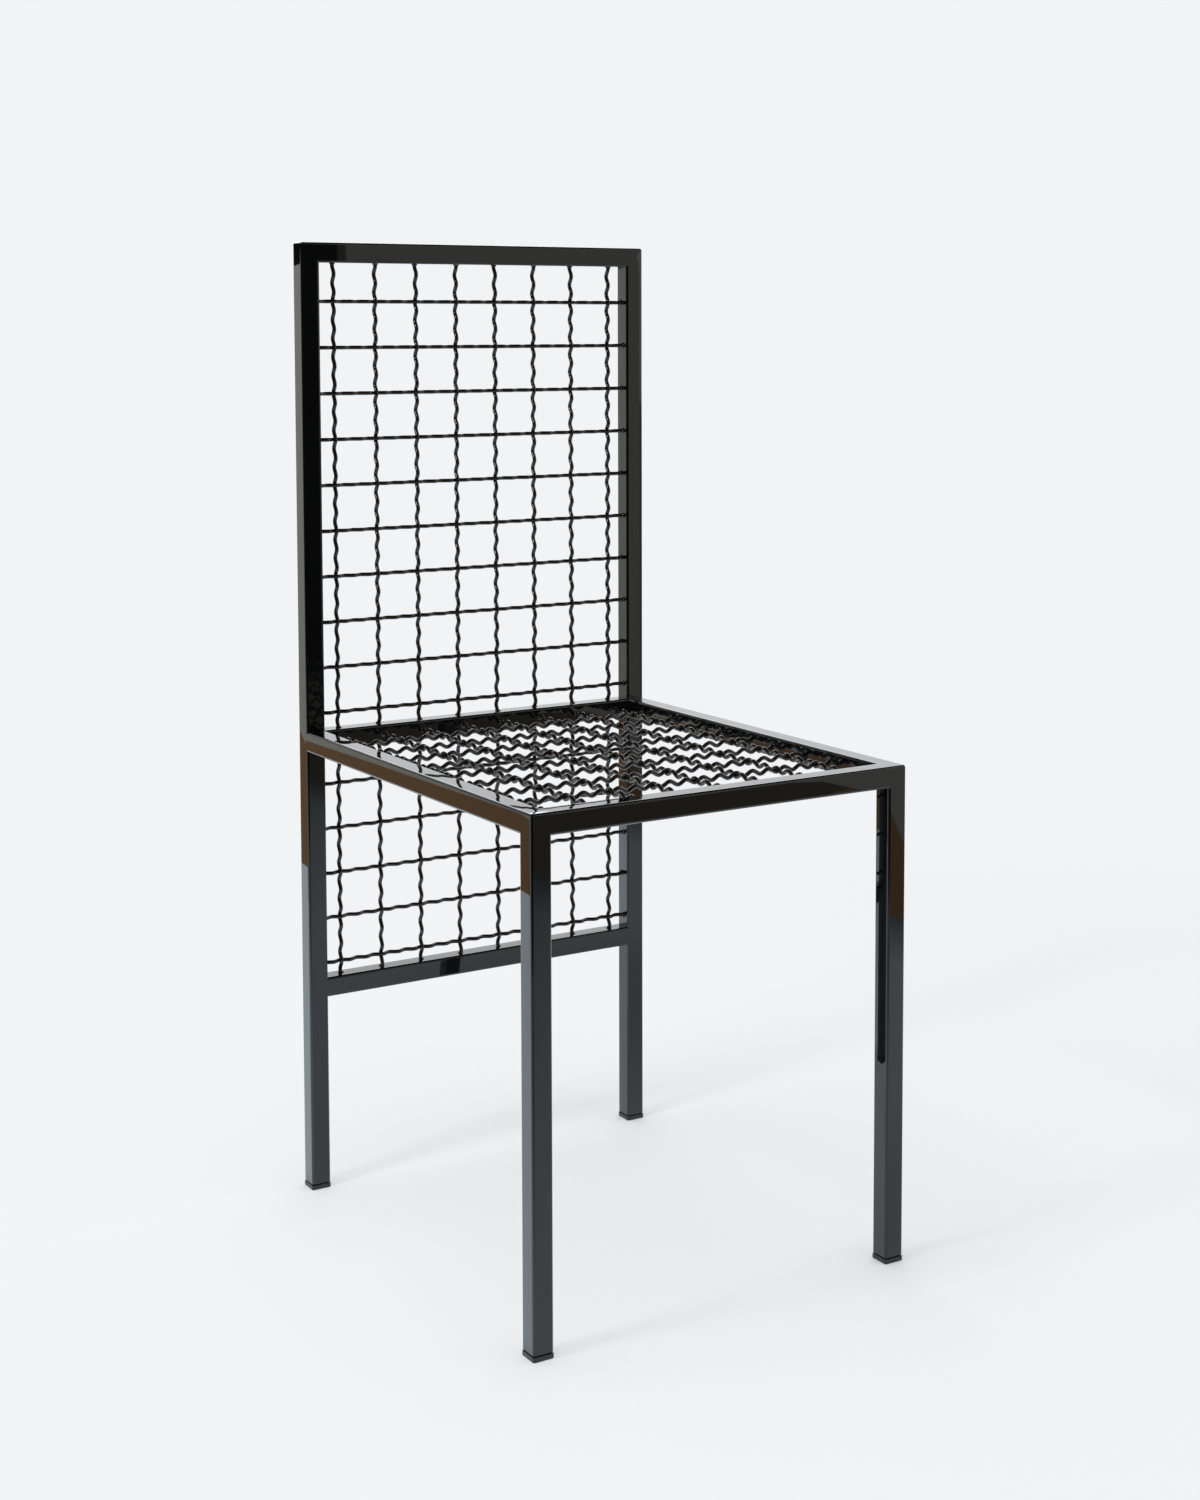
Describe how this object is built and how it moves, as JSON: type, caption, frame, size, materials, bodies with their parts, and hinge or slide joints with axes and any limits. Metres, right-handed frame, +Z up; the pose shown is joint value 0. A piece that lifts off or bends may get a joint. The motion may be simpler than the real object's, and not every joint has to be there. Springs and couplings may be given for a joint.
{
  "type": "wire mesh chair",
  "caption": "Armless dining chair of welded square tube, with woven crimped-wire panels as its seat and back, on push-in plastic feet.",
  "frame": {"origin": "floor level, under the middle of the footprint of the four feet", "axes": "+Z up, -Y towards the front of the seat, +X to the right as seen from the front"},
  "size_m": [0.3968, 0.4668, 0.951],
  "materials": {
    "frame_enamel": "gloss black enamel",
    "wire_enamel": "gloss black enamel",
    "foot_plastic": "moulded black plastic"
  },
  "bodies": {
    "root": {"left_rear_post": "frame_enamel", "right_rear_post": "frame_enamel", "top_rail": "frame_enamel", "rear_seat_rail": "frame_enamel", "lower_rear_rail": "frame_enamel", "left_seat_rail": "frame_enamel", "right_seat_rail": "frame_enamel", "front_seat_rail": "frame_enamel", "left_front_leg": "frame_enamel", "right_front_leg": "frame_enamel", "left_front_foot": "foot_plastic", "right_front_foot": "foot_plastic", "left_rear_foot": "foot_plastic", "right_rear_foot": "foot_plastic", "back_upright_wire_1": "wire_enamel", "back_upright_wire_2": "wire_enamel", "back_upright_wire_3": "wire_enamel", "back_upright_wire_4": "wire_enamel", "back_upright_wire_5": "wire_enamel", "back_upright_wire_6": "wire_enamel", "back_upright_wire_7": "wire_enamel", "back_upright_wire_8": "wire_enamel", "back_cross_wire_1": "wire_enamel", "back_cross_wire_2": "wire_enamel", "back_cross_wire_3": "wire_enamel", "back_cross_wire_4": "wire_enamel", "back_cross_wire_5": "wire_enamel", "back_cross_wire_6": "wire_enamel", "back_cross_wire_7": "wire_enamel", "back_cross_wire_8": "wire_enamel", "back_cross_wire_9": "wire_enamel", "back_cross_wire_10": "wire_enamel", "seat_long_wire_1": "wire_enamel", "seat_long_wire_2": "wire_enamel", "seat_long_wire_3": "wire_enamel", "seat_long_wire_4": "wire_enamel", "seat_long_wire_5": "wire_enamel", "seat_long_wire_6": "wire_enamel", "seat_long_wire_7": "wire_enamel", "seat_long_wire_8": "wire_enamel", "seat_cross_wire_1": "wire_enamel", "seat_cross_wire_2": "wire_enamel", "seat_cross_wire_3": "wire_enamel", "seat_cross_wire_4": "wire_enamel", "seat_cross_wire_5": "wire_enamel", "seat_cross_wire_6": "wire_enamel", "seat_cross_wire_7": "wire_enamel", "seat_cross_wire_8": "wire_enamel", "seat_cross_wire_9": "wire_enamel", "lower_upright_wire_1": "wire_enamel", "lower_upright_wire_2": "wire_enamel", "lower_upright_wire_3": "wire_enamel", "lower_upright_wire_4": "wire_enamel", "lower_upright_wire_5": "wire_enamel", "lower_upright_wire_6": "wire_enamel", "lower_upright_wire_7": "wire_enamel", "lower_upright_wire_8": "wire_enamel", "lower_cross_wires": "wire_enamel"}
  },
  "joints": []
}
